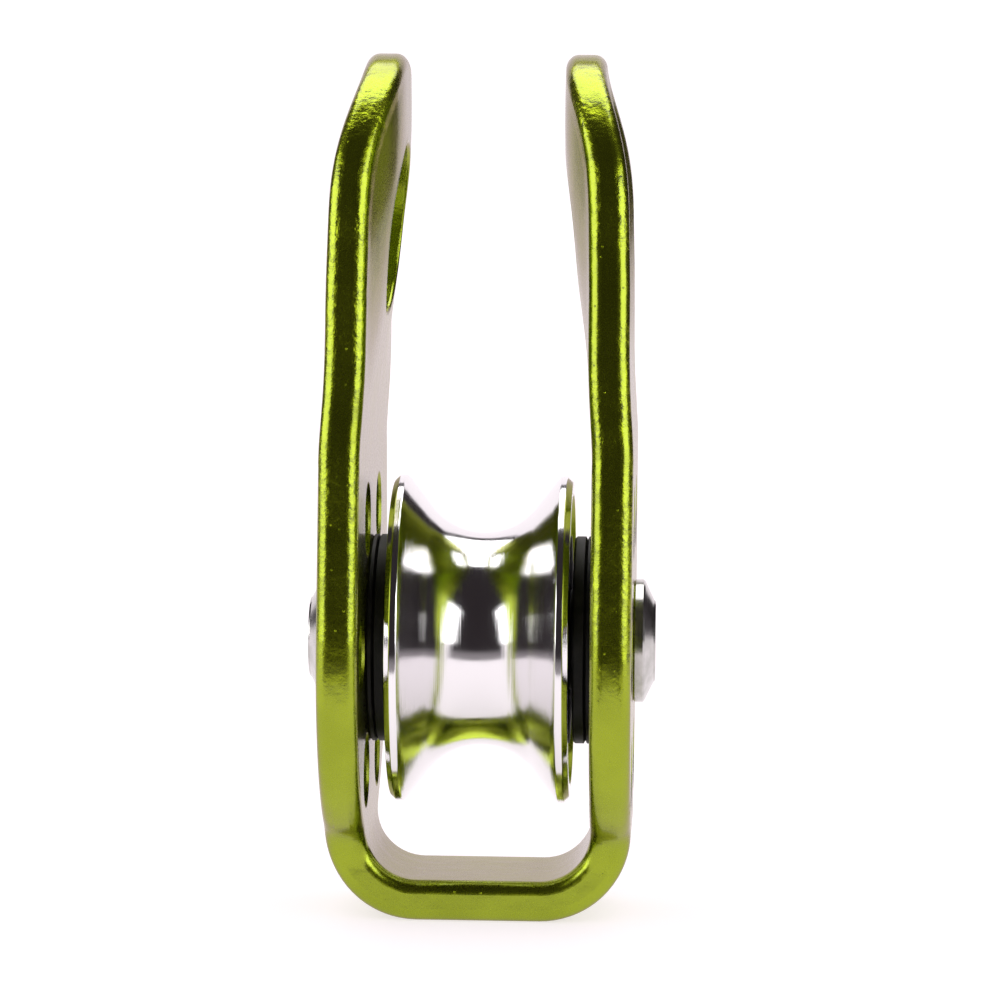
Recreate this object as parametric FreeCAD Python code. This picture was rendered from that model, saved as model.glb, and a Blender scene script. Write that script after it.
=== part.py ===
import FreeCAD, Part
import math
import os

# A pulley for ropes, with fixed sides: one alloy bar bent into a U carries a
# grooved sheave that runs on two sealed ball bearings and a riveted axle.
# X runs along the axle, Z up from the flat underside of the bend to the heads,
# and Y through the pulley, the way the rope runs. Lengths are in millimetres.

# Frame: the bar and its bend
plate_thickness = 4.4
bend_inner_radius = 5.5
bridge_thickness = 4.4
bridge_width = 18.4
bridge_blend_radius = 5.0

# Frame: the outline of each side plate
sheave_above_bridge = 7.6
body_radius = 23.2
eye_above_axle = 45.1
eye_radius = 9.25
head_radius = 19.0
edge_round = 1.4
eye_round = 0.35

# Frame: the heads lean in, and swell inwards along their middle
lean_start_above_axle = 20.0
edge_inset = 0.5
edge_lean_length = 12.0
crest_inset = 3.6
crest_lean_length = 36.0
crest_beyond_head = 0.5
crest_roundness = 1.85

# Frame: lightening holes round the axle
hole_count = 6
hole_radius = 3.85
hole_to_edge = 3.55
hole_bevel = 0.3

# Axle: a rivet with two dished heads
axle_radius = 4.0
rivet_head_radius = 6.75
rivet_flange_thickness = 1.25
rivet_nose_radius = 4.55
rivet_nose_height = 1.15
rivet_bevel = 0.2
seat_clearance = 0.02

# Sheave
sheave_radius = 18.0
sheave_width = 19.6
groove_wall = 2.2
groove_flare = 0.9
flange_width = 1.7
flange_outer_bevel = 0.6
flange_inner_bevel = 0.4
side_recess_depth = 0.55
side_rim_width = 2.4

# Bearings: two, pressed in from the sides against a shoulder
bearing_outer_radius = 9.5
bearing_width = 6.0
bearing_sink = 0.35
shoulder_height = 1.3
ball_radius = 1.6
ball_count = 7
ball_play = 0.05
race_land = 0.6
cage_play = 0.12
cage_web = 0.45
cage_thickness = 1.1
seal_thickness = 0.5
seal_sink = 0.1
seal_gap = 0.1

# Black discs and washers beside the sheave
disc_radius = 11.4
disc_thickness = 0.4
disc_bore_gap = 0.7
disc_spigot_thickness = 0.9
washer_gap = 0.4
washer_thickness = 2.15
washer_boss_step = 0.26
washer_round = 0.25
washer_groove_depth = 0.35
washer_groove_from_plate = 0.6

# Worked out from the sizes above: the stack along the axle, from the sheave out to the plates
hub_face = sheave_width / 2 - side_recess_depth
bearing_face = hub_face - bearing_sink
bearing_centre = bearing_face - bearing_width / 2
shoulder_half_width = bearing_face - bearing_width
disc_face = hub_face + disc_thickness
washer_face = disc_face + washer_gap
inner_face = washer_face + washer_thickness
outer_face = inner_face + plate_thickness

# Worked out from the sizes above: heights and radii
axle_height = bridge_thickness + sheave_above_bridge + sheave_radius
eye_height = axle_height + eye_above_axle
lean_start = axle_height + lean_start_above_axle
top_height = eye_height + head_radius
bend_outer_radius = bend_inner_radius + plate_thickness
stock_half_depth = body_radius + 3 * edge_round
bearing_bore_radius = axle_radius + seat_clearance
pitch_radius = (bearing_bore_radius + bearing_outer_radius) / 2
race_radius = ball_radius + ball_play
inner_ring_radius = pitch_radius - ball_radius + race_land
outer_ring_inner_radius = pitch_radius + ball_radius - race_land
washer_boss_radius = inner_ring_radius - washer_boss_step
crest_half_width = head_radius + crest_beyond_head
hole_ring_radius = body_radius - hole_to_edge - hole_radius
groove_half_width = sheave_width / 2 - flange_width
groove_arc_radius = groove_half_width - groove_flare
groove_root_radius = bearing_outer_radius + groove_wall
side_recess_radius = sheave_radius - side_rim_width


def vec(x, y, z):
    return FreeCAD.Vector(x, y, z)


def line(a, b):
    return Part.LineSegment(a, b).toShape()


def arc(a, b, c):
    return Part.Arc(a, b, c).toShape()


def smooth_step(t):
    """Rise from 0 to 1 with level ends."""
    t = min(max(t, 0.0), 1.0)
    return t * t * (3 - 2 * t)


def on_circle(centre, radius, degrees):
    """A point of a circle in the plane of a side plate."""
    a = math.radians(degrees)
    return vec(0, centre.y + radius * math.cos(a), centre.z + radius * math.sin(a))


def turned(points):
    """A solid of revolution about the axle from (x, radius) points."""
    ring = [vec(x, r, 0) for x, r in points]
    face = Part.Face(Part.makePolygon(ring + ring[:1]))
    return at_axle(face.revolve(vec(0, 0, 0), vec(1, 0, 0), 360))


def at_axle(shape):
    placed = shape.copy()
    placed.translate(vec(0, 0, axle_height))
    return placed


def rod(radius, start, end, y=0.0, z=None):
    """A round bar along X."""
    height = axle_height if z is None else z
    return Part.makeCylinder(radius, end - start, vec(start, y, height), vec(1, 0, 0))


def mirrored(shape):
    return shape.mirror(vec(0, 0, 0), vec(1, 0, 0))


def plate_outline():
    """Side view: the head and body circles, their tangents and the neck of the bend."""
    axle = vec(0, 0, axle_height)
    eye = vec(0, 0, eye_height)
    tilt = math.degrees(math.asin((body_radius - head_radius) / eye_above_axle))
    half = bridge_width / 2
    reach = body_radius + bridge_blend_radius
    drop = math.sqrt(reach ** 2 - (half + bridge_blend_radius) ** 2)
    blend = vec(0, half + bridge_blend_radius, axle_height - drop)
    low = math.degrees(math.atan2(blend.z - axle.z, blend.y))

    foot = vec(0, half, 0)
    neck = vec(0, half, blend.z)
    waist = on_circle(axle, body_radius, low)
    blend_mid = on_circle(blend, bridge_blend_radius, (180 + low + 180) / 2)
    shoulder = on_circle(axle, body_radius, tilt)
    body_mid = on_circle(axle, body_radius, (low + tilt) / 2)
    head_start = on_circle(eye, head_radius, tilt)
    top = vec(0, 0, top_height)

    def left(p):
        return vec(0, -p.y, p.z)

    edges = [
        line(left(foot), foot),
        line(foot, neck),
        arc(neck, blend_mid, waist),
        arc(waist, body_mid, shoulder),
        line(shoulder, head_start),
        arc(head_start, top, left(head_start)),
        line(left(head_start), left(shoulder)),
        arc(left(shoulder), left(body_mid), left(waist)),
        arc(left(waist), left(blend_mid), left(neck)),
        line(left(neck), left(foot)),
    ]
    return Part.Wire(edges)


def head_inset(y, z):
    """How far a side plate's surface has moved in towards the rope at a point."""
    edge = edge_inset * smooth_step((z - lean_start) / edge_lean_length)
    crest = crest_inset * smooth_step((z - lean_start) / crest_lean_length)
    across = min(abs(y) / crest_half_width, 1.0)
    swell = 0.5 * (1 + math.cos(math.pi * across ** crest_roundness))
    return edge + (crest - edge) * swell


def head_section(z):
    """One level cut through the bar at a head, as a closed wire."""
    steps = 12
    ys = [stock_half_depth * (2 * i / steps - 1) for i in range(steps + 1)]
    inner = Part.BSplineCurve()
    inner.interpolate([vec(inner_face - head_inset(y, z), y, z) for y in ys])
    outer = Part.BSplineCurve()
    outer.interpolate([vec(outer_face - head_inset(y, z), y, z) for y in ys])
    sides = [line(inner.EndPoint, outer.EndPoint), line(outer.StartPoint, inner.StartPoint)]
    return Part.Wire([inner.toShape(), sides[0], outer.toShape(), sides[1]])


def bent_bar():
    """The bar before its outline is cut: a U with leaning, swelling heads."""
    centre_x = inner_face - bend_inner_radius
    outer_z = bend_outer_radius
    inner_z = bridge_thickness + bend_inner_radius
    slant = math.sqrt(0.5)

    def at(x, z):
        return vec(x, 0, z)

    def bend(radius, side, z):
        return at(side * (centre_x + radius * slant), z - radius * slant)

    edges = [
        line(at(-outer_face, lean_start), at(-outer_face, outer_z)),
        arc(at(-outer_face, outer_z), bend(bend_outer_radius, -1, outer_z), at(-centre_x, 0)),
        line(at(-centre_x, 0), at(centre_x, 0)),
        arc(at(centre_x, 0), bend(bend_outer_radius, 1, outer_z), at(outer_face, outer_z)),
        line(at(outer_face, outer_z), at(outer_face, lean_start)),
        line(at(outer_face, lean_start), at(inner_face, lean_start)),
        line(at(inner_face, lean_start), at(inner_face, inner_z)),
        arc(at(inner_face, inner_z), bend(bend_inner_radius, 1, inner_z), at(centre_x, bridge_thickness)),
        line(at(centre_x, bridge_thickness), at(-centre_x, bridge_thickness)),
        arc(at(-centre_x, bridge_thickness), bend(bend_inner_radius, -1, inner_z), at(-inner_face, inner_z)),
        line(at(-inner_face, inner_z), at(-inner_face, lean_start)),
        line(at(-inner_face, lean_start), at(-outer_face, lean_start)),
    ]
    profile = Part.Face(Part.Wire(edges))
    profile.translate(vec(0, -stock_half_depth, 0))
    bar = profile.extrude(vec(0, 2 * stock_half_depth, 0))

    levels = 8
    rise = top_height + edge_round - lean_start
    sections = [head_section(lean_start + rise * i / levels) for i in range(levels + 1)]
    head = Part.makeLoft(sections, True, False)
    return bar, head, mirrored(head)


def on_outline(edge, outline):
    """Whether an edge runs along the cut outline, and not across the bar."""
    samples = [edge.FirstParameter + (edge.LastParameter - edge.FirstParameter) * t for t in (0.1, 0.5, 0.9)]
    for s in samples:
        p = edge.valueAt(s)
        if outline.distToShape(Part.Vertex(0, p.y, p.z))[0] > 0.01:
            return False
    return abs(edge.tangentAt(samples[1]).x) < 0.9


def on_hole(edge, y, z, radius):
    """Whether an edge is a mouth of the hole with this centre and radius."""
    samples = [edge.FirstParameter + (edge.LastParameter - edge.FirstParameter) * t for t in (0.1, 0.5, 0.9)]
    for s in samples:
        p = edge.valueAt(s)
        if abs(math.hypot(p.y - y, p.z - z) - radius) > 0.01:
            return False
    return abs(edge.tangentAt(samples[1]).x) < 0.9


def hole_centres():
    """Centres of the lightening holes in the side plates."""
    centres = []
    for i in range(hole_count):
        angle = 2 * math.pi * i / hole_count
        centres.append((hole_ring_radius * math.cos(angle), axle_height + hole_ring_radius * math.sin(angle)))
    return centres


def side_frame():
    """The one-piece frame: bent bar, cut outline, holes and rounded edges."""
    outline = plate_outline()
    blank = Part.Face(outline)
    blank.translate(vec(-outer_face - 1, 0, 0))
    blank = blank.extrude(vec(2 * outer_face + 2, 0, 0))
    bar, right_head, left_head = bent_bar()
    frame = bar.common(blank)
    frame = frame.fuse([right_head.common(blank), left_head.common(blank)])
    reach = outer_face + 1
    cuts = [rod(eye_radius, -reach, reach, 0, eye_height)]
    cuts.append(rod(axle_radius + seat_clearance, -reach, reach))
    cuts += [rod(hole_radius, -reach, reach, y, z) for y, z in hole_centres()]
    for cut in cuts:
        frame = frame.cut(cut)
    frame = frame.makeFillet(edge_round, [e for e in frame.Edges if on_outline(e, outline)])
    eye_mouths = [e for e in frame.Edges if on_hole(e, 0, eye_height, eye_radius)]
    frame = frame.makeFillet(eye_round, eye_mouths)
    mouths = []
    for y, z in hole_centres():
        mouths += [e for e in frame.Edges if on_hole(e, y, z, hole_radius)]
    return frame.makeChamfer(hole_bevel, mouths)


def axle_rivet():
    """The rivet: a shank through both plates with a dished head on each side."""
    flange_end = outer_face + rivet_flange_thickness
    nose_end = flange_end + rivet_nose_height
    half = [(outer_face, axle_radius), (outer_face, rivet_head_radius - rivet_bevel)]
    half += [(outer_face + rivet_bevel, rivet_head_radius), (flange_end - rivet_bevel, rivet_head_radius)]
    half += [(flange_end, rivet_head_radius - rivet_bevel), (nose_end - rivet_bevel, rivet_nose_radius)]
    half += [(nose_end, rivet_nose_radius - rivet_bevel), (nose_end, 0)]
    return turned([(-x, r) for x, r in half[::-1]] + half)


def sheave():
    """The grooved wheel, with a bore for a bearing from each side."""
    half = sheave_width / 2
    lip = groove_half_width
    lip_r = sheave_radius - flange_inner_bevel
    centre_r = groove_root_radius + groove_arc_radius
    apart = math.hypot(lip, lip_r - centre_r)
    base = math.atan2(lip_r - centre_r, lip)
    touch = base - math.acos(groove_arc_radius / apart)
    flank = vec(groove_arc_radius * math.cos(touch), centre_r + groove_arc_radius * math.sin(touch), 0)
    root = vec(0, groove_root_radius, 0)
    bore = bearing_outer_radius
    step = bearing_outer_radius - shoulder_height

    right = [vec(lip, lip_r, 0), vec(lip + flange_inner_bevel, sheave_radius, 0)]
    right += [vec(half - flange_outer_bevel, sheave_radius, 0)]
    right += [vec(half, sheave_radius - flange_outer_bevel, 0)]
    right += [vec(half, side_recess_radius + side_recess_depth, 0), vec(hub_face, side_recess_radius, 0)]
    right += [vec(hub_face, bore, 0), vec(shoulder_half_width, bore, 0), vec(shoulder_half_width, step, 0)]
    left = [vec(-p.x, p.y, 0) for p in right]
    other_flank = vec(-flank.x, flank.y, 0)

    edges = [arc(other_flank, root, flank), line(flank, right[0])]
    edges += [line(a, b) for a, b in zip(right, right[1:])]
    edges += [line(right[-1], left[-1])]
    edges += [line(a, b) for a, b in zip(left[::-1], left[::-1][1:])]
    edges += [line(left[0], other_flank)]
    profile = Part.Face(Part.Wire(edges))
    return at_axle(profile.revolve(vec(0, 0, 0), vec(1, 0, 0), 360))


def bearing_ring(low, high):
    """A plain ring as wide as the bearing."""
    a = bearing_centre - bearing_width / 2
    b = bearing_centre + bearing_width / 2
    return turned([(a, low), (b, low), (b, high), (a, high)])


def race_groove():
    """The ring of space that the balls run in."""
    circle = Part.makeTorus(pitch_radius, race_radius, vec(bearing_centre, 0, 0), vec(1, 0, 0))
    return at_axle(circle)


def bearing_outer_ring():
    high = bearing_outer_radius - seat_clearance / 2
    return bearing_ring(outer_ring_inner_radius, high).cut(race_groove())


def bearing_inner_ring():
    return bearing_ring(bearing_bore_radius, inner_ring_radius).cut(race_groove())


def ball_places():
    """Centres of the balls, evenly spaced on the pitch circle."""
    places = []
    for i in range(ball_count):
        angle = 2 * math.pi * i / ball_count
        y = pitch_radius * math.cos(angle)
        z = axle_height + pitch_radius * math.sin(angle)
        places.append(vec(bearing_centre, y, z))
    return places


def bearing_balls():
    return Part.makeCompound([Part.makeSphere(ball_radius, p) for p in ball_places()])


def bearing_cage():
    """The ring between the races that keeps the balls apart."""
    pocket = ball_radius + cage_play
    half = pocket + cage_web
    low = pitch_radius - cage_thickness / 2
    high = pitch_radius + cage_thickness / 2
    a = bearing_centre - half
    b = bearing_centre + half
    cage = turned([(a, low), (b, low), (b, high), (a, high)])
    for p in ball_places():
        outward = vec(0, p.y, p.z - axle_height)
        cage = cage.cut(Part.makeCylinder(pocket, 2 * pitch_radius, vec(p.x, 0, axle_height), outward))
    return cage


def bearing_seal(face, inward):
    """A thin sealing ring just inside one face of the bearing."""
    low = inner_ring_radius + seal_gap
    high = outer_ring_inner_radius
    a = face + inward * seal_sink
    b = a + inward * seal_thickness
    return turned([(a, low), (b, low), (b, high), (a, high)])


def inner_ring_spacer():
    """The tube that keeps the two inner rings apart."""
    high = inner_ring_radius - seal_gap
    a = shoulder_half_width
    return turned([(-a, bearing_bore_radius), (a, bearing_bore_radius), (a, high), (-a, high)])


def dust_disc():
    """The thin black disc over the bearing, held by a spigot in the sheave's bore."""
    low = washer_boss_radius + disc_bore_gap
    spigot_high = bearing_outer_radius - seat_clearance
    spigot_low = spigot_high - disc_spigot_thickness
    spigot_end = bearing_face + seal_gap / 2
    points = [(disc_face, low), (disc_face, disc_radius), (hub_face, disc_radius), (hub_face, spigot_high)]
    points += [(spigot_end, spigot_high), (spigot_end, spigot_low), (hub_face, spigot_low), (hub_face, low)]
    return turned(points)


def plate_washer():
    """The black washer on the plate, with a boss that clamps the inner ring."""
    groove = inner_face - washer_groove_from_plate
    groove_end = groove - washer_groove_depth
    groove_mid = (groove + groove_end) / 2
    low = axle_radius + seat_clearance
    points = [(bearing_face, low), (inner_face, low), (inner_face, disc_radius - washer_round)]
    points += [(inner_face - washer_round, disc_radius), (groove, disc_radius)]
    points += [(groove_mid, disc_radius - washer_groove_depth), (groove_end, disc_radius)]
    points += [(washer_face + washer_round, disc_radius), (washer_face, disc_radius - washer_round)]
    points += [(washer_face, washer_boss_radius), (bearing_face, washer_boss_radius)]
    return turned(points)


def save(name, shape):
    solids = shape.Solids
    kept = solids[0] if len(solids) == 1 else Part.makeCompound(solids)
    kept.exportStep("parts/" + name + ".step")
    print(name, len(solids), round(kept.Volume, 2), kept.isValid())


def main():
    os.makedirs("parts", exist_ok=True)
    save("side_frame", side_frame())
    save("axle_rivet", axle_rivet())
    save("sheave", sheave())
    save("inner_ring_spacer", inner_ring_spacer())
    sided = {
        "plate_washer": plate_washer(),
        "dust_disc": dust_disc(),
        "bearing_outer_ring": bearing_outer_ring(),
        "bearing_inner_ring": bearing_inner_ring(),
        "bearing_balls": bearing_balls(),
        "bearing_cage": bearing_cage(),
        "bearing_outer_seal": bearing_seal(bearing_face, -1),
        "bearing_inner_seal": bearing_seal(shoulder_half_width, 1),
    }
    for name, shape in sided.items():
        save("right_" + name, shape)
        save("left_" + name, mirrored(shape))


main()
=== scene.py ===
"""Looks of a fixed-side rope pulley: lime anodised frame, polished sheave, steel axle, black washers.

The frame, axle, washers, discs and bearings keep their solid shapes, and the sheave is turned again
with finer steps in its solid's place. This file gives each one its finish, and adds the studio
around them: a pale floor, soft lights, the room that the metal mirrors, and the camera.
"""

import logging
import math
from dataclasses import dataclass, field
from enum import Enum
from typing import Any, Optional, Union

import bpy
from mathutils import Matrix, Vector


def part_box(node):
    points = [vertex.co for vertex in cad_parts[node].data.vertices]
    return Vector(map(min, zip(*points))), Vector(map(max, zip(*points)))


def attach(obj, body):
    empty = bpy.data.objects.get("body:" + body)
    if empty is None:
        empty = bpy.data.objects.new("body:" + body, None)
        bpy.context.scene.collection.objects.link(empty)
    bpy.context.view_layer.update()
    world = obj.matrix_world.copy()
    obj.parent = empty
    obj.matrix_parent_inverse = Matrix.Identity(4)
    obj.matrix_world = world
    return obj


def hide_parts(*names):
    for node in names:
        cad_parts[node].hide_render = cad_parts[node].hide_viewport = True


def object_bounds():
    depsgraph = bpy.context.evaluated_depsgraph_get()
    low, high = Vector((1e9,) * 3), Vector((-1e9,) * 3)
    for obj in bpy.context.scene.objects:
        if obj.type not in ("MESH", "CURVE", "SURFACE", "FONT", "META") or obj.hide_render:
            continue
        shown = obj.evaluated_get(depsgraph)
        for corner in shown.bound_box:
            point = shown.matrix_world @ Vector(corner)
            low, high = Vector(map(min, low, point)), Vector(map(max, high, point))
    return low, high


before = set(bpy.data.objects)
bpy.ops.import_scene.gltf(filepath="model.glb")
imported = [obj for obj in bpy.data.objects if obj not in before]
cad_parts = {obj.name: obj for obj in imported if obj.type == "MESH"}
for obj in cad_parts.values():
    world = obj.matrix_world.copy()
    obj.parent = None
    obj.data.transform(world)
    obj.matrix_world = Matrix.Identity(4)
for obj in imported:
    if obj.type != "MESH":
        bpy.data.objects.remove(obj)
CAD_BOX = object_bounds()

MM = 0.001
log = logging.getLogger("pulley")

# Steps of the lathe round the axle, and the angle past which an edge stays sharp.
STEPS_ROUND = 360
SHARP_ANGLE = math.radians(30)

# Points nearer than this become one, in metres.
MERGE_DISTANCE = 1e-7

# Where the points that guard a rounding lie, in units of its reach from the corner.
GUARD_REACH = 1.15

# Inputs of a Mix node for colours, and its output. They share their names, so they go by place.
MIX_SHARE, MIX_LOW, MIX_HIGH = 0, 6, 7
MIX_COLOUR = 2

Point = tuple[float, float]
Span = tuple[float, float]
Place = tuple[float, float, float]
Colour = tuple[float, float, float]
Number = Union["Wave", float, int]


class Side(Enum):
    """The two sides of the pulley, along the axle."""

    RIGHT = 1
    LEFT = -1

    @property
    def prefix(self) -> str:
        """Start of the names of the pieces on this side."""
        return self.name.lower() + "_"


class Wave:
    """One value output of a node, with arithmetic that adds Math nodes."""

    def __init__(self, tree: "Tree", socket: bpy.types.NodeSocket) -> None:
        """Keep the tree that owns the socket.

        Args:
            tree: The tree that adds the nodes.
            socket: The output socket.
        """
        self.tree = tree
        self.socket = socket

    def math(self, kind: str, *values: Number) -> "Wave":
        """Add one Math node.

        Args:
            kind: The node's operation.
            values: Its inputs, in order.

        Returns:
            The node's result.
        """
        return self.tree.node("ShaderNodeMath", {"operation": kind}, dict(enumerate(values)))

    def __add__(self, other: Number) -> "Wave":
        """Sum."""
        return self.math("ADD", self, other)

    def __radd__(self, other: Number) -> "Wave":
        """Sum, from the right."""
        return self.math("ADD", other, self)

    def __sub__(self, other: Number) -> "Wave":
        """Difference."""
        return self.math("SUBTRACT", self, other)

    def __rsub__(self, other: Number) -> "Wave":
        """Difference, from the right."""
        return self.math("SUBTRACT", other, self)

    def __mul__(self, other: Number) -> "Wave":
        """Product."""
        return self.math("MULTIPLY", self, other)

    def __rmul__(self, other: Number) -> "Wave":
        """Product, from the right."""
        return self.math("MULTIPLY", other, self)

    def __truediv__(self, other: Number) -> "Wave":
        """Quotient."""
        return self.math("DIVIDE", self, other)

    def __rtruediv__(self, other: Number) -> "Wave":
        """Quotient, from the right."""
        return self.math("DIVIDE", other, self)

    def __pow__(self, other: Number) -> "Wave":
        """Power."""
        return self.math("POWER", self, other)

    def step(self, low: float, high: float) -> "Wave":
        """Add a smooth rise from 0 at low to 1 at high, or a fall where low is above high.

        Args:
            low: Where the result is 0.
            high: Where the result is 1.

        Returns:
            The share.
        """
        rises = low < high
        values = {"Value": self, "From Min": min(low, high), "From Max": max(low, high)}
        values.update({"To Min": 0.0 if rises else 1.0, "To Max": 1.0 if rises else 0.0})
        return self.tree.node("ShaderNodeMapRange", {"interpolation_type": "SMOOTHSTEP"}, values)


class Tree:
    """A node tree under construction, with one method that adds any node."""

    def __init__(self, tree: bpy.types.NodeTree) -> None:
        """Keep the tree.

        Args:
            tree: An empty node tree.
        """
        self.tree = tree

    def node(self, kind: str, settings: dict[str, Any], values: dict[Any, Any], out: Any = 0) -> Wave:
        """Add a node, set it up and connect it.

        Args:
            kind: The node's type.
            settings: Its properties.
            values: Its inputs by name or place: numbers, colours or other results.
            out: The output that is wanted.

        Returns:
            That output, ready for arithmetic.
        """
        made = self.tree.nodes.new(kind)
        for name, value in settings.items():
            setattr(made, name, value)
        for name, value in values.items():
            self.feed(made.inputs[name], value)
        return Wave(self, made.outputs[out])

    def feed(self, socket: bpy.types.NodeSocket, value: Any) -> None:
        """Link a result to a socket, or set the socket's own value.

        Args:
            socket: The input socket.
            value: A result, a number, a vector or a colour.
        """
        if isinstance(value, Wave):
            self.tree.links.new(value.socket, socket)
        elif isinstance(value, tuple) and len(value) < len(socket.default_value):
            socket.default_value = (*value, 1.0)
        else:
            socket.default_value = value

    def axis(self, place: Wave, which: str) -> Wave:
        """One coordinate of a position."""
        return self.node("ShaderNodeSeparateXYZ", {}, {"Vector": place}, which)


class Shader(Tree):
    """A material under construction round one Principled shader."""

    def __init__(self, name: str) -> None:
        """Make an empty material with its Principled shader.

        Args:
            name: The material's name.
        """
        self.material = bpy.data.materials.new(name)
        self.material.use_nodes = True
        super().__init__(self.material.node_tree)
        self.tree.nodes.clear()
        self.surface = self.tree.nodes.new("ShaderNodeBsdfPrincipled")
        output = self.tree.nodes.new("ShaderNodeOutputMaterial")
        self.tree.links.new(self.surface.outputs["BSDF"], output.inputs["Surface"])

    def set(self, **values: Any) -> None:
        """Set or link the Principled shader's sockets, with _ for a space in each name."""
        for name, value in values.items():
            self.feed(self.surface.inputs[name.replace("_", " ")], value)

    def place(self) -> Wave:
        """Position on the piece, in metres."""
        return self.node("ShaderNodeTexCoord", {}, {}, "Object")

    def moved(self, place: Wave, offset: Place = (0, 0, 0), scale: Place = (1, 1, 1)) -> Wave:
        """Position after a shift and a stretch."""
        values = {"Vector": place, "Location": offset, "Scale": scale}
        return self.node("ShaderNodeMapping", {}, values)

    def noise(self, place: Wave, scale: float, detail: float = 2.0, roughness: float = 0.5) -> Wave:
        """Soft noise from 0 to 1, with a given number of bumps in a metre."""
        values = {"Vector": place, "Scale": scale, "Detail": detail, "Roughness": roughness}
        return self.node("ShaderNodeTexNoise", {}, values)

    def specks(self, place: Wave, scale: float) -> Wave:
        """Distance from scattered points, in cells."""
        values = {"Vector": place, "Scale": scale, "Randomness": 1.0}
        return self.node("ShaderNodeTexVoronoi", {"feature": "F1"}, values, "Distance")

    def mix(self, share: Number, low: Any, high: Any) -> Wave:
        """Blend two colours.

        Args:
            share: The second colour's share.
            low: The first colour, or a result.
            high: The second colour, or a result.

        Returns:
            The blend.
        """
        settings = {"data_type": "RGBA", "blend_type": "MIX"}
        values = {MIX_SHARE: share, MIX_LOW: low, MIX_HIGH: high}
        return self.node("ShaderNodeMix", settings, values, MIX_COLOUR)

    def bump(
        self, height: Wave, depth: float, strength: float = 1.0, below: Optional[Wave] = None
    ) -> Wave:
        """Make a normal from a height.

        Args:
            height: The height, in units of depth.
            depth: The height's unit, in metres.
            strength: How much of the height is taken.
            below: An earlier normal that this one lies over.

        Returns:
            The normal.
        """
        values = {"Height": height, "Distance": depth, "Strength": strength}
        if below is not None:
            values["Normal"] = below
        return self.node("ShaderNodeBump", {}, values, "Normal")


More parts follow.
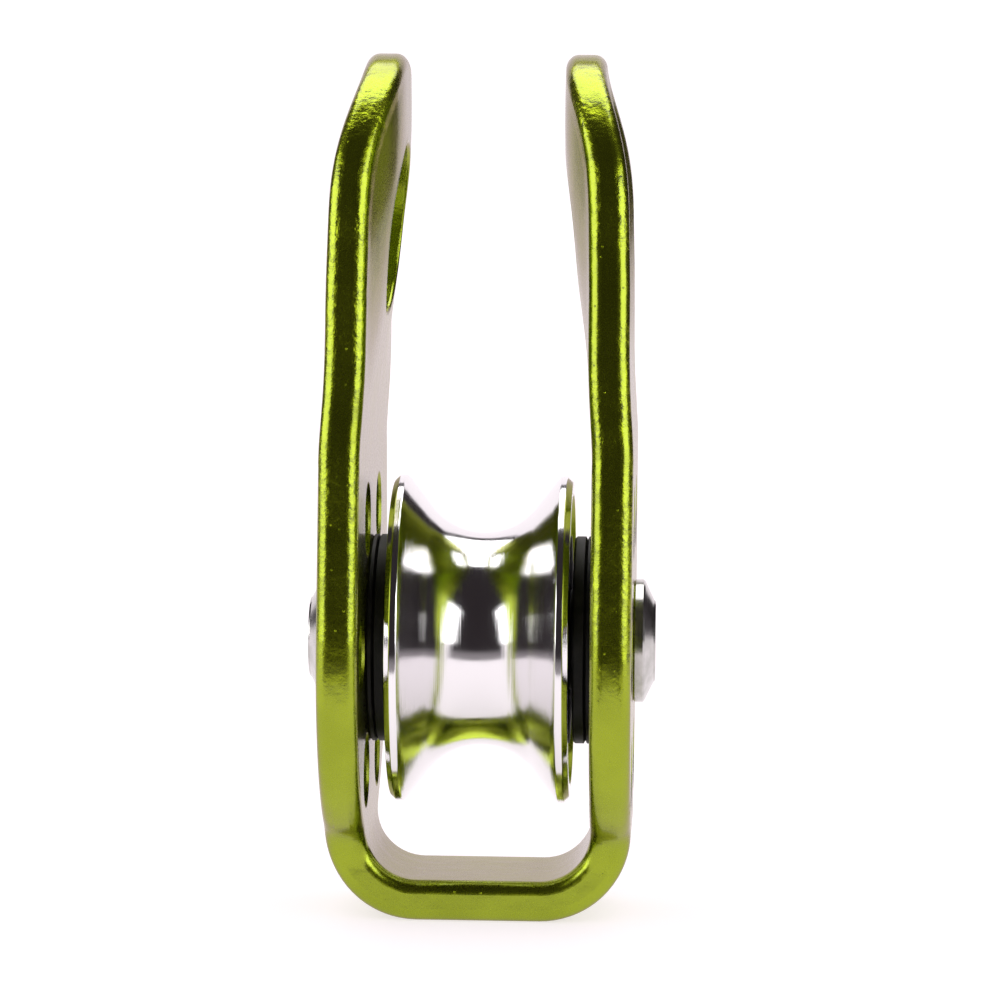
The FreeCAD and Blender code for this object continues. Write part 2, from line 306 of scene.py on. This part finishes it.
class Lathe(Tree):
    """Geometry Nodes that turn a closed profile about the axle."""

    INPUTS = {
        "Profile": "NodeSocketGeometry",
        "Profile Points": "NodeSocketInt",
        "Steps Round": "NodeSocketInt",
        "Axle Height": "NodeSocketFloat",
        "Sharp Angle": "NodeSocketFloat",
        "Finish": "NodeSocketMaterial",
    }

    def __init__(self, name: str) -> None:
        """Build the tree.

        Args:
            name: The tree's name.
        """
        super().__init__(bpy.data.node_groups.new(name, "GeometryNodeTree"))
        sockets = self.tree.interface
        self.identifiers = {}
        for label, kind in self.INPUTS.items():
            made = sockets.new_socket(label, in_out="INPUT", socket_type=kind)
            self.identifiers[label] = made.identifier
        sockets.new_socket("Turned", in_out="OUTPUT", socket_type="NodeSocketGeometry")
        self.entry = self.tree.nodes.new("NodeGroupInput")
        self.exit = self.tree.nodes.new("NodeGroupOutput")
        self.feed(self.exit.inputs["Turned"], self.build())

    def given(self, label: str) -> Wave:
        """One of the tree's inputs."""
        return Wave(self, self.entry.outputs[label])

    def build(self) -> Wave:
        """Lay a grid round the axle, one row of it for each point of the profile.

        Returns:
            The turned, dressed mesh.
        """
        points = self.given("Profile Points")
        counts = {"Vertices X": self.given("Steps Round") + 1, "Vertices Y": points + 1}
        grid = self.node("GeometryNodeMeshGrid", {}, {"Size X": 1.0, "Size Y": 1.0, **counts})
        here = self.node("GeometryNodeInputPosition", {}, {})
        across = self.axis(here, "X") + 0.5
        along = (self.axis(here, "Y") + 0.5) * points
        row = along.math("FLOORED_MODULO", along.math("ROUND", along), points)
        settings = {"data_type": "FLOAT_VECTOR", "domain": "POINT"}
        source = {"Geometry": self.given("Profile"), "Value": here, "Index": row}
        found = self.node("GeometryNodeSampleIndex", settings, source)
        radius = self.axis(found, "Z")
        angle = across * math.tau
        y = radius * angle.math("SINE", angle)
        z = radius * angle.math("COSINE", angle) + self.given("Axle Height")
        spot = self.node("ShaderNodeCombineXYZ", {}, {"X": self.axis(found, "X"), "Y": y, "Z": z})
        turned = self.node("GeometryNodeSetPosition", {}, {"Geometry": grid, "Position": spot})
        joined = {"Geometry": turned, "Distance": MERGE_DISTANCE}
        closed = self.node("GeometryNodeMergeByDistance", {}, joined)
        even = {"Geometry": closed, "Shade Smooth": True}
        smooth = self.node("GeometryNodeSetShadeSmooth", {"domain": "FACE"}, even)
        bend = self.node("GeometryNodeInputMeshEdgeAngle", {}, {})
        sharp = bend.math("GREATER_THAN", bend, self.given("Sharp Angle"))
        creased = {"Geometry": smooth, "Selection": sharp, "Shade Smooth": False}
        edged = self.node("GeometryNodeSetShadeSmooth", {"domain": "EDGE"}, creased)
        whole = self.node("GeometryNodeRealizeInstances", {}, {"Geometry": edged})
        finished = {"Geometry": whole, "Material": self.given("Finish")}
        return self.node("GeometryNodeSetMaterial", {}, finished)

    def turn(
        self, name: str, profile: list[Point], axle: float, finish: bpy.types.Material
    ) -> bpy.types.Object:
        """Turn one profile into a plain mesh object.

        Args:
            name: The piece's name.
            profile: Points as (place along the axle, radius), in order round the section.
            axle: Height of the axle.
            finish: The piece's material.

        Returns:
            The turned piece.
        """
        mesh = bpy.data.meshes.new(name)
        mesh.from_pydata([(x, 0.0, r) for x, r in profile], [], [])
        mesh.materials.append(finish)
        piece = bpy.data.objects.new(name, mesh)
        bpy.context.scene.collection.objects.link(piece)
        modifier = piece.modifiers.new("turning", "NODES")
        modifier.node_group = self.tree
        given = {"Profile Points": len(profile), "Steps Round": STEPS_ROUND, "Axle Height": axle}
        given.update({"Sharp Angle": SHARP_ANGLE, "Finish": finish})
        for label, value in given.items():
            modifier[self.identifiers[label]] = value
        ready = piece.evaluated_get(bpy.context.evaluated_depsgraph_get())
        piece.data = bpy.data.meshes.new_from_object(ready)
        piece.modifiers.remove(modifier)
        return piece


def rounded(points: list[Point], radius: float, steps: int = 4) -> list[Point]:
    """Round the corners of a closed profile.

    Args:
        points: The profile's points.
        radius: How far from a corner its rounding starts.
        steps: Steps in each rounding.

    Returns:
        The rounded profile. Points where it hardly bends stay as they are.
    """
    kept = []
    for i, corner in enumerate(points):
        here = Vector(corner)
        back = Vector(points[i - 1]) - here
        ahead = Vector(points[(i + 1) % len(points)]) - here
        if math.pi - back.angle(ahead) < SHARP_ANGLE:
            kept.append(corner)
            continue
        start = back.normalized() * min(radius, back.length / 3)
        end = ahead.normalized() * min(radius, ahead.length / 3)
        kept.append(tuple(here + start * GUARD_REACH))
        for k in range(steps + 1):
            t = k / steps
            kept.append(tuple(here + start * (1 - t) ** 2 + end * t ** 2))
        kept.append(tuple(here + end * GUARD_REACH))
    return kept


@dataclass(frozen=True)
class AnodisedLime:
    """Dyed and sealed alloy: lime metal under a clear skin, silver grey at a low angle."""

    name: str = "lime_anodised_alloy"

    # Colours of the metal, and its tint where it is seen at a low angle
    lime: Colour = (0.32, 0.395, 0.015)
    deep_lime: Colour = (0.275, 0.34, 0.011)
    scuff: Colour = (0.10, 0.115, 0.02)
    low_angle_tint: Colour = (0.62, 0.47, 0.58)

    # Least roughness, what the clouds and the grain add to it, and the clear skin
    roughness: float = 0.22
    cloud_roughness: float = 0.05
    grain_roughness: float = 0.06
    skin: float = 0.5
    skin_index: float = 1.5
    skin_roughness: float = 0.14

    # The bar's outline, and the bands over which its cut edges, its eye and the cast skin begin
    axle_height: float = 30.0 * MM
    eye_height: float = 75.1 * MM
    body_radius: float = 23.2 * MM
    head_radius: float = 19.0 * MM
    eye_radius: float = 9.25 * MM
    rim_band: Span = (-2.4 * MM, -1.2 * MM)
    eye_band: Span = (0.8 * MM, 0.4 * MM)
    cast_band: Span = (14.0 * MM, 44.0 * MM)

    # Patterns, in bumps to a metre, and the parts of them that are used
    cloud_scale: float = 110.0
    grain_scale: float = 3200.0
    peel_scale: float = 1300.0
    ripple_scale: float = 330.0
    pit_scale: float = 700.0
    mark_scale: float = 170.0
    mark_shift: Place = (0.3, 0.1, 0.2)
    dye_clouds: Span = (0.35, 0.7)
    cast_clouds: Span = (0.35, 0.65)
    pit_size: Span = (0.09, 0.03)
    mark_size: Span = (0.03, 0.012)
    mark_share: float = 0.6

    # Shares and depths of the bumps
    least_cast: float = 0.15
    face_ripple: float = 0.3
    edge_ripple: float = 0.2
    cast_ripple: float = 0.5
    pit_depth: float = 0.03 * MM
    grain_depth: float = 0.004 * MM
    grain_share: float = 0.7
    peel_depth: float = 0.13 * MM
    ripple_depth: float = 0.2 * MM

    def cut_edges(self, s: Shader, place: Wave) -> Wave:
        """1 on the bar's cut edges and in its eye, falling to 0 on its broad faces.

        Args:
            s: The material under construction.
            place: Position on the piece.

        Returns:
            The share.
        """
        y = s.axis(place, "Y")
        z = s.axis(place, "Z")
        level = z.math("MINIMUM", z.math("MAXIMUM", z, self.axle_height), self.eye_height)
        beyond = z - level
        share = (level - self.axle_height) / (self.eye_height - self.axle_height)
        radius = share * (self.head_radius - self.body_radius) + self.body_radius
        rim = ((y * y + beyond * beyond) ** 0.5 - radius).step(*self.rim_band)
        rise = z - self.eye_height
        eye = ((y * y + rise * rise) ** 0.5 - self.eye_radius).step(*self.eye_band)
        return rim.math("MAXIMUM", rim, eye)

    def build(self) -> bpy.types.Material:
        """Make the finish.

        Returns:
            The material.
        """
        s = Shader(self.name)
        place = s.place()
        cloud = s.noise(place, self.cloud_scale, detail=3.0)
        grain = s.noise(place, self.grain_scale, detail=2.0, roughness=0.6)
        peel = s.noise(place, self.peel_scale, detail=3.0, roughness=0.6)
        ripple = s.noise(place, self.ripple_scale, detail=1.0)
        pits = s.specks(place, self.pit_scale).step(*self.pit_size)
        marks = s.specks(s.moved(place, self.mark_shift), self.mark_scale).step(*self.mark_size)
        dyed = s.mix(cloud.step(*self.dye_clouds), self.deep_lime, self.lime)
        s.set(Base_Color=s.mix(marks * self.mark_share, dyed, self.scuff), Metallic=1.0)
        s.set(Specular_Tint=self.low_angle_tint)
        s.set(Roughness=cloud * self.cloud_roughness + grain * self.grain_roughness + self.roughness)
        s.set(Coat_Weight=self.skin, Coat_IOR=self.skin_index, Coat_Roughness=self.skin_roughness)
        edges = self.cut_edges(s, place)
        rough = cloud.step(*self.cast_clouds) * s.axis(place, "Z").step(*self.cast_band) * edges
        cast = rough * (1 - self.least_cast) + self.least_cast
        pitted = s.bump(pits, self.pit_depth)
        fine = s.bump(grain, self.grain_depth, self.grain_share, pitted)
        orange_peel = s.bump(peel * cast, self.peel_depth, below=fine)
        swell = edges * (cast * self.cast_ripple + self.edge_ripple) + self.face_ripple
        s.set(Normal=s.bump(ripple * swell, self.ripple_depth, below=orange_peel))
        return s.material


@dataclass(frozen=True)
class TurnedAlloy:
    """Bright alloy, turned on a lathe and polished, with fine rings round the axle."""

    name: str = "turned_polished_alloy"
    bright: Colour = (0.85, 0.835, 0.845)
    axle_height: float = 30.0 * MM
    ring_pitch: float = 0.12 * MM
    ring_depth: float = 0.011 * MM
    ring_share: float = 0.9
    haze_scale: float = 700.0
    smear_scale: float = 260.0
    grain_scale: float = 2200.0
    grain_depth: float = 0.0012 * MM
    grain_share: float = 0.5
    roughness: float = 0.05
    haze_roughness: float = 0.08
    smear_roughness: float = 0.05

    def build(self) -> bpy.types.Material:
        """Make the finish.

        Returns:
            The material.
        """
        s = Shader(self.name)
        place = s.place()
        centred = s.moved(place, (0, 0, -self.axle_height))
        x = s.axis(centred, "X")
        y = s.axis(centred, "Y")
        z = s.axis(centred, "Z")
        radius = (y * y + z * z) ** 0.5
        along = s.node("ShaderNodeCombineXYZ", {}, {"X": x, "Y": radius, "Z": 0.0})
        lines = s.noise(along, 1 / self.ring_pitch, detail=3.0, roughness=0.7)
        haze = s.noise(along, self.haze_scale, detail=2.0)
        smear = s.noise(place, self.smear_scale, detail=3.0)
        grain = s.noise(place, self.grain_scale, detail=2.0)
        s.set(Base_Color=self.bright, Metallic=1.0)
        s.set(Roughness=haze * self.haze_roughness + smear * self.smear_roughness + self.roughness)
        turned = s.bump(lines, self.ring_depth, self.ring_share)
        s.set(Normal=s.bump(grain, self.grain_depth, self.grain_share, turned))
        return s.material


@dataclass(frozen=True)
class PlatedSteel:
    """Plated steel, slightly clouded."""

    name: str = "plated_steel"
    bright: Colour = (0.60, 0.585, 0.575)
    dull: Colour = (0.46, 0.455, 0.43)
    clouds: Span = (0.35, 0.7)
    cloud_scale: float = 500.0
    grain_scale: float = 3500.0
    grain_depth: float = 0.004 * MM
    grain_share: float = 0.5
    roughness: float = 0.13
    cloud_roughness: float = 0.12

    def build(self) -> bpy.types.Material:
        """Make the finish.

        Returns:
            The material.
        """
        s = Shader(self.name)
        place = s.place()
        cloud = s.noise(place, self.cloud_scale, detail=4.0)
        grain = s.noise(place, self.grain_scale, detail=2.0)
        s.set(Base_Color=s.mix(cloud.step(*self.clouds), self.dull, self.bright), Metallic=1.0)
        s.set(Roughness=cloud * self.cloud_roughness + self.roughness)
        s.set(Normal=s.bump(grain, self.grain_depth, self.grain_share))
        return s.material


@dataclass(frozen=True)
class BlackPlastic:
    """Black moulded plastic with a low sheen."""

    name: str = "black_plastic"
    black: Colour = (0.005, 0.0045, 0.0045)
    worn: Colour = (0.013, 0.0115, 0.0115)
    clouds: Span = (0.4, 0.75)
    cloud_scale: float = 600.0
    grain_scale: float = 4000.0
    grain_depth: float = 0.006 * MM
    grain_share: float = 0.5
    roughness: float = 0.4
    cloud_roughness: float = 0.15
    sheen: float = 0.25

    def build(self) -> bpy.types.Material:
        """Make the finish.

        Returns:
            The material.
        """
        s = Shader(self.name)
        place = s.place()
        cloud = s.noise(place, self.cloud_scale, detail=3.0)
        grain = s.noise(place, self.grain_scale, detail=2.0)
        s.set(Base_Color=s.mix(cloud.step(*self.clouds), self.black, self.worn))
        s.set(Roughness=cloud * self.cloud_roughness + self.roughness)
        s.set(Normal=s.bump(grain, self.grain_depth, self.grain_share))
        s.set(Specular_IOR_Level=self.sheen)
        return s.material


@dataclass(frozen=True)
class SealRubber:
    """Black rubber of the bearings' seals."""

    name: str = "seal_rubber"
    black: Colour = (0.012, 0.012, 0.012)
    dusty: Colour = (0.03, 0.03, 0.029)
    cloud_scale: float = 900.0
    roughness: float = 0.55
    cloud_roughness: float = 0.2

    def build(self) -> bpy.types.Material:
        """Make the finish.

        Returns:
            The material.
        """
        s = Shader(self.name)
        cloud = s.noise(s.place(), self.cloud_scale, detail=3.0)
        s.set(Base_Color=s.mix(cloud, self.black, self.dusty))
        s.set(Roughness=cloud * self.cloud_roughness + self.roughness)
        return s.material


@dataclass(frozen=True)
class GroundMetal:
    """Ground metal of the bearings' rings, balls and cages."""

    name: str
    bright: Colour
    dull: Colour
    roughness: float
    cloud_roughness: float = 0.1
    cloud_scale: float = 700.0
    grain_scale: float = 2500.0
    grain_stretch: Place = (6, 1, 1)
    grain_depth: float = 0.002 * MM
    grain_share: float = 0.4

    def build(self) -> bpy.types.Material:
        """Make the finish.

        Returns:
            The material.
        """
        s = Shader(self.name)
        place = s.place()
        cloud = s.noise(place, self.cloud_scale, detail=3.0)
        stretched = s.moved(place, scale=self.grain_stretch)
        grain = s.noise(stretched, self.grain_scale, detail=2.0)
        s.set(Base_Color=s.mix(cloud, self.dull, self.bright), Metallic=1.0)
        s.set(Roughness=cloud * self.cloud_roughness + self.roughness)
        s.set(Normal=s.bump(grain, self.grain_depth, self.grain_share))
        return s.material


Finish = Union[AnodisedLime, TurnedAlloy, PlatedSteel, BlackPlastic, SealRubber, GroundMetal]


@dataclass
class Dresser:
    """Gives pieces their finish and tells the log about each one."""

    made: dict[str, bpy.types.Material] = field(default_factory=dict)

    def finish(self, kind: Finish) -> bpy.types.Material:
        """The material of a finish, built once.

        Args:
            kind: A finish.

        Returns:
            Its material.
        """
        if kind.name not in self.made:
            self.made[kind.name] = kind.build()
        return self.made[kind.name]

    def dress(self, node: str, kind: Finish) -> None:
        """Put a finish on a solid.

        Args:
            node: The solid's name.
            kind: A finish.
        """
        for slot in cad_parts[node].material_slots:
            slot.material = self.finish(kind)
        log.info("%s: %s", node, kind.name)


@dataclass
class SideFrame:
    """The bent bar with its two heads, its eye and its lightening holes."""

    finish: AnodisedLime = field(default_factory=AnodisedLime)

    def dress(self, dresser: Dresser) -> None:
        """Give the bar its dyed, sealed finish.

        Args:
            dresser: What puts finishes on.
        """
        dresser.dress("side_frame", self.finish)


@dataclass
class Wheel:
    """The sheave, turned from its profile, and the discs that turn with it."""

    groove: TurnedAlloy = field(default_factory=TurnedAlloy)
    cover: BlackPlastic = field(default_factory=BlackPlastic)
    body: str = "wheel"

    # Sizes of the profile, and how its corners are rounded
    bearing_radius: float = 9.5 * MM
    groove_wall: float = 2.2 * MM
    groove_flare: float = 0.9 * MM
    flange_width: float = 1.7 * MM
    outer_bevel: float = 0.6 * MM
    inner_bevel: float = 0.4 * MM
    recess_depth: float = 0.55 * MM
    rim_width: float = 2.4 * MM
    bearing_depth: float = 6.35 * MM
    shoulder_height: float = 1.3 * MM
    edge_break: float = 0.12 * MM

    # Steps of its curves
    groove_steps: int = 64
    flank_steps: int = 8

    def right_side(self, half: float, radius: float) -> list[Point]:
        """The right side's profile, from the shoulder in the bore out to the groove's lip.

        Args:
            half: Half the sheave's width.
            radius: The sheave's radius.

        Returns:
            Its points.
        """
        hub = half - self.recess_depth
        recess = radius - self.rim_width
        shoulder = hub - self.bearing_depth
        lip = half - self.flange_width
        return [
            (shoulder, self.bearing_radius - self.shoulder_height),
            (shoulder, self.bearing_radius),
            (hub, self.bearing_radius),
            (hub, recess),
            (half, recess + self.recess_depth),
            (half, radius - self.outer_bevel),
            (half - self.outer_bevel, radius),
            (lip + self.inner_bevel, radius),
            (lip, radius - self.inner_bevel),
        ]

    def right_groove(self, lip: Point) -> list[Point]:
        """The groove's right half, from beside its lip down to its root.

        Args:
            lip: The lip, where the straight flank ends.

        Returns:
            Its points, the root among them.
        """
        arc = lip[0] - self.groove_flare
        root = self.bearing_radius + self.groove_wall
        rise = lip[1] - root - arc
        touch = math.atan2(rise, lip[0]) - math.acos(arc / math.hypot(lip[0], rise))
        foot = Vector((arc * math.cos(touch), root + arc + arc * math.sin(touch)))
        flank = [Vector(lip).lerp(foot, k / self.flank_steps) for k in range(1, self.flank_steps)]
        sweep = touch + math.pi / 2
        turns = [touch - sweep * k / self.groove_steps for k in range(self.groove_steps + 1)]
        bowl = [(arc * math.cos(t), root + arc + arc * math.sin(t)) for t in turns]
        return [tuple(p) for p in flank] + bowl

    def build(self, dresser: Dresser) -> bpy.types.Object:
        """Turn the sheave.

        Args:
            dresser: What makes the finish.

        Returns:
            The sheave.
        """
        low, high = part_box("sheave")
        side = self.right_side(high.x, (high.z - low.z) / 2)
        groove = self.right_groove(side[-1])
        mirrored = [(-x, r) for x, r in reversed(side + groove[:-1])]
        lathe = Lathe("lathe")
        profile = rounded(side + groove + mirrored, self.edge_break)
        return lathe.turn("turned_sheave", profile, (low.z + high.z) / 2, dresser.finish(self.groove))

    def dress(self, dresser: Dresser) -> None:
        """Build the sheave in its solid's place and give the discs their finish.

        Args:
            dresser: What makes and puts on finishes.
        """
        sheave = self.build(dresser)
        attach(sheave, self.body)
        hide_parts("sheave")
        log.info("%s: turned from its profile, %s", sheave.name, self.groove.name)
        for side in Side:
            dresser.dress(side.prefix + "dust_disc", self.cover)


@dataclass
class Axle:
    """The rivet, the spacer on it and the washers against the side plates."""

    steel: PlatedSteel = field(default_factory=PlatedSteel)
    washer: BlackPlastic = field(default_factory=BlackPlastic)

    def dress(self, dresser: Dresser) -> None:
        """Give the axle and what it clamps their finish.

        Args:
            dresser: What puts finishes on.
        """
        dresser.dress("axle_rivet", self.steel)
        dresser.dress("inner_ring_spacer", self.steel)
        for side in Side:
            dresser.dress(side.prefix + "plate_washer", self.washer)


@dataclass
class Bearings:
    """The two ball bearings in the sheave."""

    steel: GroundMetal = GroundMetal(
        "bearing_steel", bright=(0.62, 0.62, 0.63), dull=(0.5, 0.5, 0.51), roughness=0.12
    )
    brass: GroundMetal = GroundMetal(
        "cage_brass", bright=(0.72, 0.5, 0.18), dull=(0.55, 0.38, 0.13), roughness=0.22
    )
    rubber: SealRubber = field(default_factory=SealRubber)

    def dress(self, dresser: Dresser) -> None:
        """Give each bearing's rings, balls, cage and seals their finish.

        Args:
            dresser: What puts finishes on.
        """
        for side in Side:
            for piece in ("outer_ring", "inner_ring", "balls"):
                dresser.dress(f"{side.prefix}bearing_{piece}", self.steel)
            dresser.dress(f"{side.prefix}bearing_cage", self.brass)
            for piece in ("outer_seal", "inner_seal"):
                dresser.dress(f"{side.prefix}bearing_{piece}", self.rubber)


@dataclass(frozen=True)
class SoftLight:
    """A rectangular soft light that points at the pulley, with azimuth 0 in front and 90 at the right."""

    name: str
    azimuth: float
    elevation: float
    distance: float
    width: float
    height: float
    watts: float

    def build(self, centre: Vector) -> None:
        """Make the light, which only mirrors see.

        Args:
            centre: The point that it faces.
        """
        a = math.radians(self.azimuth)
        e = math.radians(self.elevation)
        away = Vector((math.sin(a) * math.cos(e), -math.cos(a) * math.cos(e), math.sin(e)))
        data = bpy.data.lights.new(self.name, "AREA")
        data.shape = "RECTANGLE"
        data.size = self.width
        data.size_y = self.height
        data.energy = self.watts
        lamp = bpy.data.objects.new(self.name, data)
        bpy.context.scene.collection.objects.link(lamp)
        lamp.location = centre + away * self.distance
        lamp.rotation_mode = "QUATERNION"
        lamp.rotation_quaternion = (-away).to_track_quat("-Z", "Y")
        lamp.visible_diffuse = False


@dataclass(frozen=True)
class Room:
    """Sizes of the dark studio that the metal mirrors, with one white window behind the pulley."""

    half_width: float = 1.66
    front: float = -1.6
    back: float = 2.0
    height: float = 2.2
    paper_front: float = 0.10
    paper_fade: float = 0.30
    paper_side: float = 0.45
    floor_gap: float = 1.0 * MM
    window_left: float = -1.5
    window_right: float = 0.95
    window_height: float = 1.35

    def facing(self, left: float, right: float, depth: float, low: float, high: float) -> list[Place]:
        """Lay out an upright card that faces the camera or the pulley.

        Args:
            left: Where its first side stands.
            right: Where its other side stands.
            depth: Its distance behind the pulley.
            low: Height of its lower edge.
            high: Height of its upper edge.

        Returns:
            Its corners.
        """
        return [(left, depth, low), (right, depth, low), (right, depth, high), (left, depth, high)]

    def cards(self) -> dict[str, list[Place]]:
        """Lay out the dark walls, ceiling and floor, open at the window and the white paper.

        Returns:
            Each card's corners, by its name.
        """
        w, h, gap, near = self.half_width, self.height, self.floor_gap, self.paper_front
        front, back, sill = self.front, self.back, self.window_height
        window = {Side.LEFT: self.window_left, Side.RIGHT: self.window_right}
        cards = {
            "dark_floor": [(-w, front, gap), (w, front, gap), (near, -near, gap), (-near, -near, gap)],
            "dark_front": self.facing(-w, w, front, 0, h),
            "dark_ceiling": [(-w, front, h), (w, front, h), (w, back, h), (-w, back, h)],
            "dark_back": self.facing(-w, w, back, sill, h),
        }
        for side in Side:
            wall = side.value * w
            paper = side.value * self.paper_side
            inner = window[side]
            upright = [(front, 0), (back, 0), (back, h), (front, h)]
            flat = [(paper, 0), (wall, 0), (wall, back), (inner, back)]
            cards[side.prefix + "dark_wall"] = [(wall, y, z) for y, z in upright]
            cards[side.prefix + "dark_back"] = self.facing(inner, wall, back, 0, sill)
            cards[side.prefix + "dark_floor"] = [(x, y, gap) for x, y in flat]
        return cards


@dataclass
class Studio:
    """Pale floor, white surround, soft lights and the dark room in front, and the camera."""

    # The camera, fitted to the photograph: metres, degrees, and its lens and sensor in millimetres
    viewpoint: Place = (0.022035, -0.460, 0.083836)
    yaw: float = 2.659
    pitch: float = 4.651
    roll: float = -0.478
    lens: float = 154.23
    sensor: float = 36.0
    nearest: float = 0.01
    farthest: float = 50.0

    # The floor and the surround
    floor_reach: float = 6.0
    white: Colour = (1.10, 1.03, 1.07)
    paper: Colour = (0.45, 0.45, 0.45)
    paper_glow: float = 0.62
    paper_roughness: float = 0.9
    paper_sheen: float = 0.1

    # What the metal mirrors
    black: Colour = (0.0, 0.0, 0.0)
    dark: Colour = (0.027, 0.022, 0.0245)
    grey: Colour = (0.30, 0.275, 0.29)
    room: Room = field(default_factory=Room)
    lights: tuple[SoftLight, ...] = (
        SoftLight(
            "left_soft_light",
            azimuth=-71.0, elevation=17.0, distance=1.1, width=1.25, height=0.7, watts=7.6,
        ),
        SoftLight(
            "right_soft_light",
            azimuth=60.0, elevation=17.0, distance=1.1, width=1.0, height=0.7, watts=6.4,
        ),
        SoftLight(
            "overhead_soft_light",
            azimuth=180.0, elevation=65.0, distance=1.3, width=1.6, height=1.16, watts=18.0,
        ),
    )

    def build(self, centre: Vector) -> None:
        """Make the whole studio.

        Args:
            centre: The middle of the pulley.
        """
        self.build_surround()
        self.build_floor()
        self.build_room()
        for light in self.lights:
            light.build(centre)
        self.build_camera()

    def build_surround(self) -> None:
        """Make the white surround that lights the pulley from all sides."""
        world = bpy.data.worlds.new("white_surround")
        world.use_nodes = True
        background = world.node_tree.nodes["Background"]
        background.inputs["Color"].default_value = (*self.white, 1.0)
        background.inputs["Strength"].default_value = 1.0
        bpy.context.scene.world = world
        bpy.context.scene.view_settings.view_transform = "Standard"

    def card(self, name: str, corners: list[Place], finish: bpy.types.Material) -> bpy.types.Object:
        """Make a flat staged card.

        Args:
            name: Its name.
            corners: Its four corners.
            finish: Its material.

        Returns:
            The card.
        """
        mesh = bpy.data.meshes.new(name)
        mesh.from_pydata(corners, [], [(0, 1, 2, 3)])
        mesh.materials.append(finish)
        made = bpy.data.objects.new(name, mesh)
        bpy.context.scene.collection.objects.link(made)
        log.info("%s: staged", name)
        return made

    def build_floor(self) -> None:
        """Make the pale floor."""
        s = Shader("pale_floor")
        s.set(Base_Color=self.paper, Roughness=self.paper_roughness, Specular_IOR_Level=self.paper_sheen)
        s.set(Emission_Color=self.white, Emission_Strength=self.paper_glow)
        r = self.floor_reach
        self.card("floor", [(-r, -r, 0), (r, -r, 0), (r, r, 0), (-r, r, 0)], s.material)

    def dark_finish(self, fades: bool) -> bpy.types.Material:
        """The dark cards' finish.

        Args:
            fades: Whether it fades from grey to dark away from the pulley.

        Returns:
            The material.
        """
        s = Shader("fading_dark" if fades else "even_dark")
        s.set(Base_Color=self.black, Roughness=1.0, Specular_IOR_Level=0.0, Emission_Strength=1.0)
        if not fades:
            s.set(Emission_Color=self.dark)
            return s.material
        shade = s.axis(s.place(), "Y").step(-self.room.paper_fade, -self.room.paper_front)
        s.set(Emission_Color=s.mix(shade, self.dark, self.grey))
        return s.material

    def build_room(self) -> None:
        """Make the dark cards, which only mirrors see, as round a studio's camera."""
        for name, corners in self.room.cards().items():
            made = self.card(name, corners, self.dark_finish(name == "dark_floor"))
            made.visible_camera = False
            made.visible_diffuse = False
            made.visible_shadow = False

    def build_camera(self) -> None:
        """Make the camera at the photograph's place and angle."""
        yaw, pitch, roll = (math.radians(angle) for angle in (self.yaw, self.pitch, self.roll))
        level = Vector((-math.sin(yaw), math.cos(yaw), 0.0))
        ahead = level * math.cos(pitch) + Vector((0.0, 0.0, -math.sin(pitch)))
        right = Vector((math.cos(yaw), math.sin(yaw), 0.0))
        up = right.cross(ahead)
        across = math.cos(roll) * right - math.sin(roll) * up
        upward = math.sin(roll) * right + math.cos(roll) * up
        data = bpy.data.cameras.new("camera")
        data.lens = self.lens
        data.sensor_width = self.sensor
        data.clip_start = self.nearest
        data.clip_end = self.farthest
        camera = bpy.data.objects.new("camera", data)
        bpy.context.scene.collection.objects.link(camera)
        turn = Matrix((across, upward, -ahead)).transposed().to_4x4()
        camera.matrix_world = Matrix.Translation(self.viewpoint) @ turn
        bpy.context.scene.camera = camera


def main() -> None:
    """Dress every piece, then build the studio round them."""
    logging.basicConfig(level=logging.INFO, format="%(message)s")
    dresser = Dresser()
    for part in (SideFrame(), Wheel(), Axle(), Bearings()):
        part.dress(dresser)
    low, high = CAD_BOX
    Studio().build((low + high) / 2)


if __name__ == "__main__":
    main()
